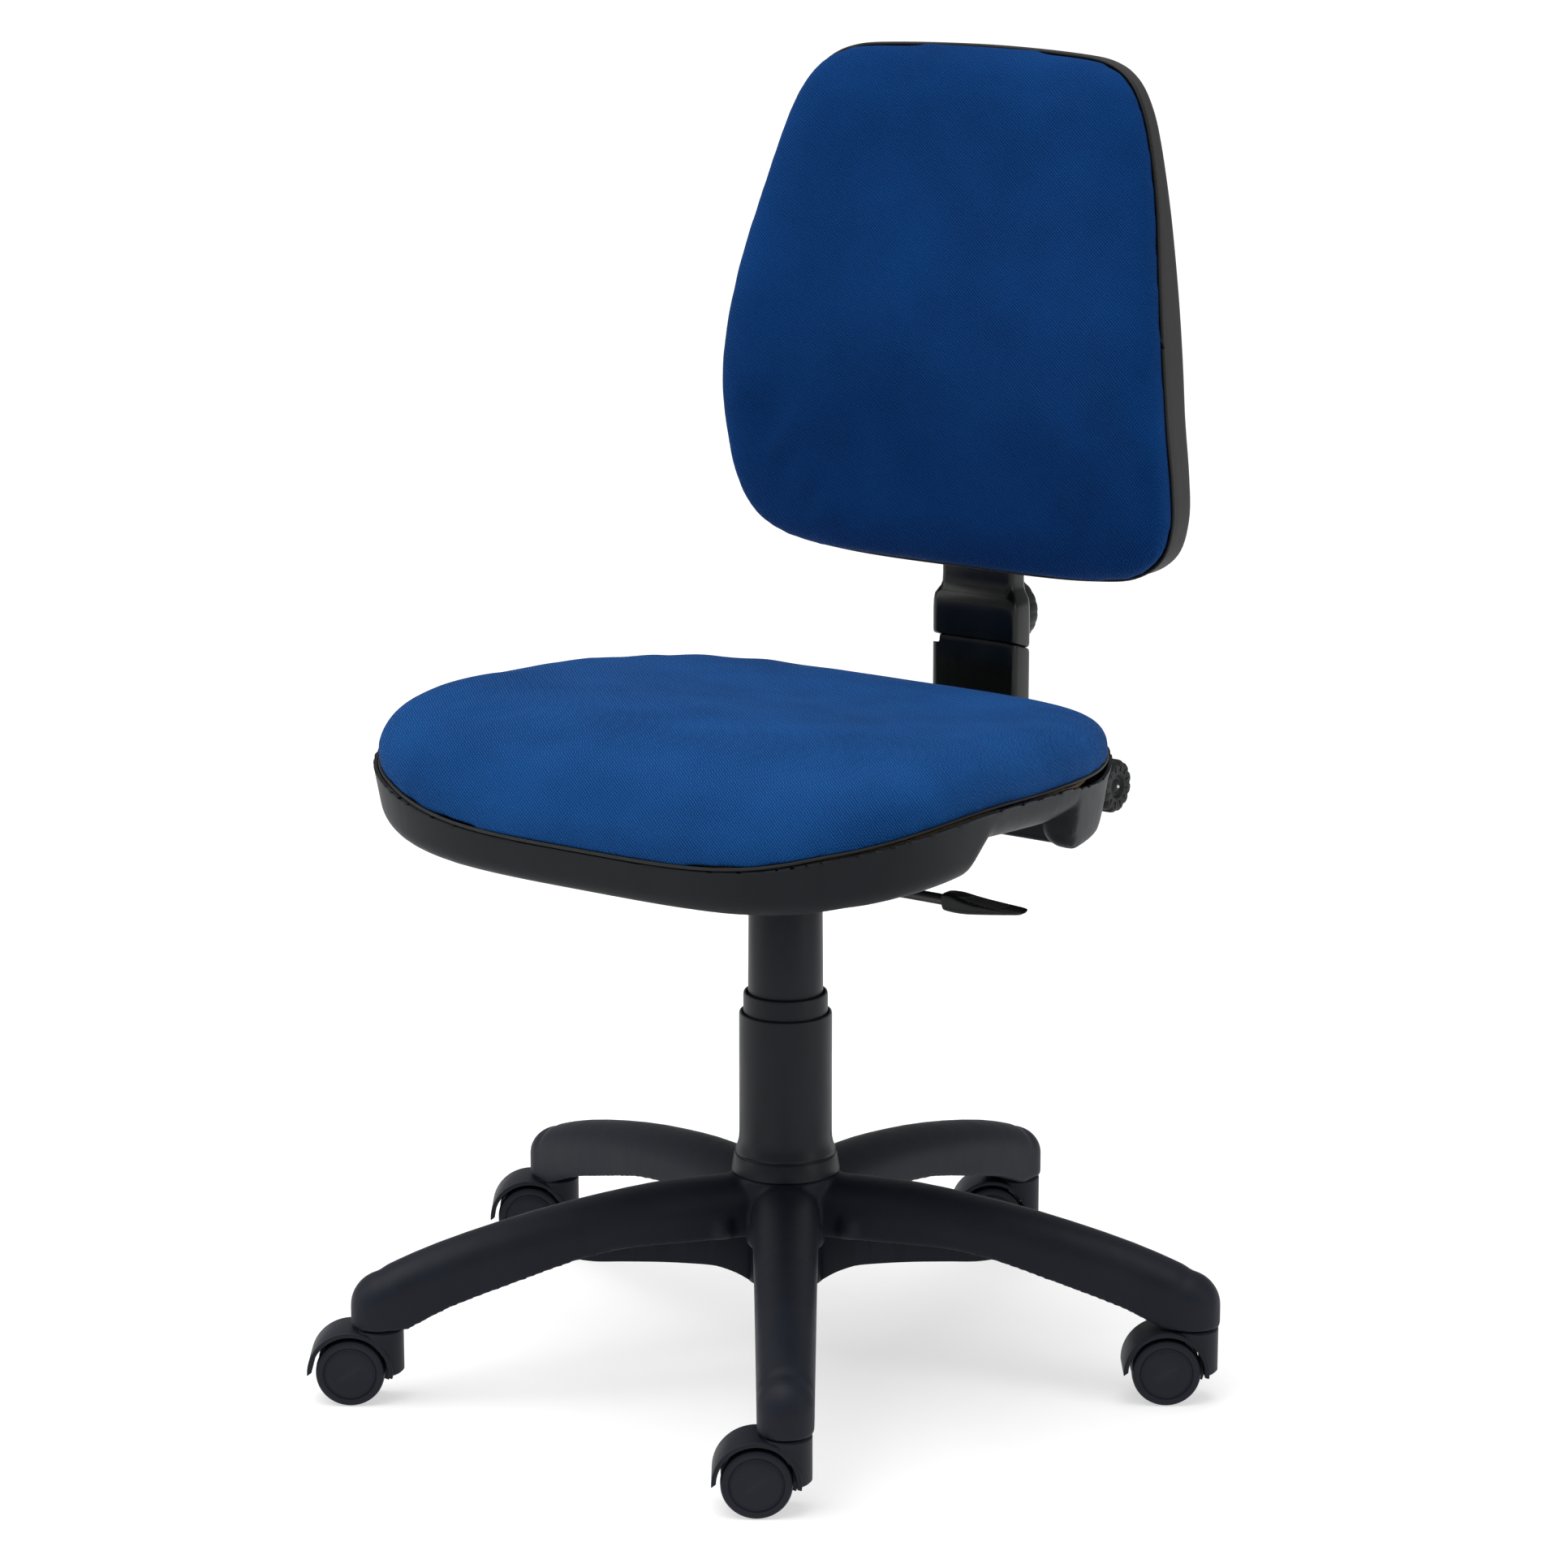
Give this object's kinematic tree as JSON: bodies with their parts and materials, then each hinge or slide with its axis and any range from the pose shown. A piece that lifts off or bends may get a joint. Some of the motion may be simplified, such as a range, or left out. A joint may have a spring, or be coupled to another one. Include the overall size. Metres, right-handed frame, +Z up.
{
  "type": "swivel office chair",
  "caption": "Armless swivel chair on a star base with twin-wheel casters, gas lift, padded seat, and a padded backrest with height and tilt adjustment.",
  "frame": {"origin": "on the floor, on the vertical axis of the column", "axes": "+Z up, -Y towards the front of the seat, +X towards the sitter's left"},
  "size_m": [0.6605, 0.6287, 0.947],
  "materials": {
    "base_nylon": "satin",
    "caster_nylon": "satin",
    "wheel_nylon": "satin",
    "column_plastic": "satin",
    "shell_plastic": "satin",
    "back_shell_plastic": "matte",
    "cover_plastic": "gloss",
    "knob_plastic": "satin",
    "bush_plastic": "satin",
    "seat_fabric": "matte",
    "back_fabric": "matte",
    "plywood": "matte",
    "black_steel": "satin",
    "bearing_steel": "satin",
    "zinc_steel": "satin",
    "chromed_rod": "polished"
  },
  "bodies": {
    "base": {"five_star_base": "base_nylon", "lift_outer_tube": "black_steel", "lift_guide_bush": "bush_plastic", "thrust_bearing_washers": "bearing_steel", "thrust_bearing_balls": "bearing_steel", "column_sleeve_lower": "column_plastic", "caster_stems": "zinc_steel", "caster_grip_rings": "bearing_steel"},
    "lift_rod": {"piston_rod": "chromed_rod", "rod_clip": "bearing_steel"},
    "sleeve_middle": {"column_sleeve_middle": "column_plastic"},
    "seat": {"gas_cylinder": "black_steel", "column_sleeve_upper": "column_plastic", "mechanism_plate": "black_steel", "cone_hub": "black_steel", "lever_pin": "zinc_steel", "seat_shell": "shell_plastic", "seat_board": "plywood", "seat_cushion": "seat_fabric", "seat_screws": "zinc_steel", "seat_tee_nuts": "zinc_steel", "armrest_tee_nuts": "zinc_steel", "tilt_spindle": "zinc_steel", "friction_washers": "bush_plastic", "tilt_spring": "bearing_steel"},
    "lever": {"lever_rod": "black_steel", "lever_paddle": "knob_plastic"},
    "release_button": {"release_button": "zinc_steel"},
    "back_bar": {"back_yoke": "black_steel", "back_bar": "black_steel", "bar_cover_lower": "cover_plastic"},
    "tilt_handwheel": {"tilt_handwheel": "knob_plastic"},
    "backrest": {"back_bracket": "black_steel", "bar_cover_upper": "cover_plastic", "back_board": "plywood", "back_shell": "back_shell_plastic", "back_cushion": "back_fabric", "back_screws": "zinc_steel"},
    "height_knob": {"height_knob": "knob_plastic", "height_knob_stud": "zinc_steel"},
    "caster_1": {"caster_1_housing": "caster_nylon", "caster_1_axle": "zinc_steel"},
    "caster_1_wheel_left": {"caster_1_wheel_left": "wheel_nylon"},
    "caster_1_wheel_right": {"caster_1_wheel_right": "wheel_nylon"},
    "caster_2": {"caster_2_housing": "caster_nylon", "caster_2_axle": "zinc_steel"},
    "caster_2_wheel_left": {"caster_2_wheel_left": "wheel_nylon"},
    "caster_2_wheel_right": {"caster_2_wheel_right": "wheel_nylon"},
    "caster_3": {"caster_3_housing": "caster_nylon", "caster_3_axle": "zinc_steel"},
    "caster_3_wheel_left": {"caster_3_wheel_left": "wheel_nylon"},
    "caster_3_wheel_right": {"caster_3_wheel_right": "wheel_nylon"},
    "caster_4": {"caster_4_housing": "caster_nylon", "caster_4_axle": "zinc_steel"},
    "caster_4_wheel_left": {"caster_4_wheel_left": "wheel_nylon"},
    "caster_4_wheel_right": {"caster_4_wheel_right": "wheel_nylon"},
    "caster_5": {"caster_5_housing": "caster_nylon", "caster_5_axle": "zinc_steel"},
    "caster_5_wheel_left": {"caster_5_wheel_left": "wheel_nylon"},
    "caster_5_wheel_right": {"caster_5_wheel_right": "wheel_nylon"}
  },
  "joints": [
    {"name": "seat_swivel", "type": "hinge", "parent": "base", "child": "lift_rod", "pos_m": [0, 0, 0.1], "axis": [0, 0, 1], "continuous": true},
    {"name": "seat_lift", "type": "slide", "parent": "lift_rod", "child": "seat", "axis": [0, 0, 1], "range_m": [-0.05, 0.07]},
    {"name": "middle_sleeve_slide", "type": "slide", "parent": "base", "child": "sleeve_middle", "axis": [0, 0, 1], "range_m": [-0.0155, 0.0215]},
    {"name": "lever_lift", "type": "hinge", "parent": "seat", "child": "lever", "pos_m": [0.022, 0, 0.4], "axis": [0, -1, 0], "range_deg": [0, 7.5], "stiffness_Nm_per_rad": 0.8, "springref_deg": -14.32},
    {"name": "button_press", "type": "slide", "parent": "seat", "child": "release_button", "axis": [0, 0, -1], "range_m": [0, 0.003]},
    {"name": "back_tilt", "type": "hinge", "parent": "seat", "child": "back_bar", "pos_m": [0, 0.205, 0.414], "axis": [-1, 0, 0], "range_deg": [-4, 14]},
    {"name": "tilt_handwheel_turn", "type": "hinge", "parent": "seat", "child": "tilt_handwheel", "pos_m": [0.14, 0.205, 0.414], "axis": [1, 0, 0], "range_deg": [0, 360]},
    {"name": "back_height", "type": "slide", "parent": "back_bar", "child": "backrest", "axis": [0, 0, 1], "range_m": [0, 0.06]},
    {"name": "height_knob_turn", "type": "hinge", "parent": "backrest", "child": "height_knob", "pos_m": [0, 0.29, 0.514], "axis": [0, 1, 0], "range_deg": [0, 360]},
    {"name": "caster_1_swivel", "type": "hinge", "parent": "base", "child": "caster_1", "pos_m": [0.17752, -0.25353, 0.05], "axis": [0, 0, 1], "continuous": true},
    {"name": "caster_1_wheel_left_spin", "type": "hinge", "parent": "caster_1", "child": "caster_1_wheel_left", "pos_m": [0.16139, -0.26483, 0.025], "axis": [0.5736, -0.8192, 0], "continuous": true},
    {"name": "caster_1_wheel_right_spin", "type": "hinge", "parent": "caster_1", "child": "caster_1_wheel_right", "pos_m": [0.16139, -0.26483, 0.025], "axis": [0.5736, -0.8192, 0], "continuous": true},
    {"name": "caster_2_swivel", "type": "hinge", "parent": "base", "child": "caster_2", "pos_m": [0.29598, 0.09049, 0.05], "axis": [0, 0, 1], "continuous": true},
    {"name": "caster_2_wheel_left_spin", "type": "hinge", "parent": "caster_2", "child": "caster_2_wheel_left", "pos_m": [0.27984, 0.07919, 0.025], "axis": [0.5736, -0.8192, 0], "continuous": true},
    {"name": "caster_2_wheel_right_spin", "type": "hinge", "parent": "caster_2", "child": "caster_2_wheel_right", "pos_m": [0.27984, 0.07919, 0.025], "axis": [0.5736, -0.8192, 0], "continuous": true},
    {"name": "caster_3_swivel", "type": "hinge", "parent": "base", "child": "caster_3", "pos_m": [0.0054, 0.30945, 0.05], "axis": [0, 0, 1], "continuous": true},
    {"name": "caster_3_wheel_left_spin", "type": "hinge", "parent": "caster_3", "child": "caster_3_wheel_left", "pos_m": [-0.01074, 0.29815, 0.025], "axis": [0.5736, -0.8192, 0], "continuous": true},
    {"name": "caster_3_wheel_right_spin", "type": "hinge", "parent": "caster_3", "child": "caster_3_wheel_right", "pos_m": [-0.01074, 0.29815, 0.025], "axis": [0.5736, -0.8192, 0], "continuous": true},
    {"name": "caster_4_swivel", "type": "hinge", "parent": "base", "child": "caster_4", "pos_m": [-0.29264, 0.10076, 0.05], "axis": [0, 0, 1], "continuous": true},
    {"name": "caster_4_wheel_left_spin", "type": "hinge", "parent": "caster_4", "child": "caster_4_wheel_left", "pos_m": [-0.30878, 0.08946, 0.025], "axis": [0.5736, -0.8192, 0], "continuous": true},
    {"name": "caster_4_wheel_right_spin", "type": "hinge", "parent": "caster_4", "child": "caster_4_wheel_right", "pos_m": [-0.30878, 0.08946, 0.025], "axis": [0.5736, -0.8192, 0], "continuous": true},
    {"name": "caster_5_swivel", "type": "hinge", "parent": "base", "child": "caster_5", "pos_m": [-0.18626, -0.24718, 0.05], "axis": [0, 0, 1], "continuous": true},
    {"name": "caster_5_wheel_left_spin", "type": "hinge", "parent": "caster_5", "child": "caster_5_wheel_left", "pos_m": [-0.2024, -0.25848, 0.025], "axis": [0.5736, -0.8192, 0], "continuous": true},
    {"name": "caster_5_wheel_right_spin", "type": "hinge", "parent": "caster_5", "child": "caster_5_wheel_right", "pos_m": [-0.2024, -0.25848, 0.025], "axis": [0.5736, -0.8192, 0], "continuous": true}
  ],
  "couplings": [
    {"joint": "middle_sleeve_slide", "follows": "seat_lift", "ratio": 0.3},
    {"joint": "button_press", "follows": "lever_lift", "m_per_rad": 0.022}
  ]
}
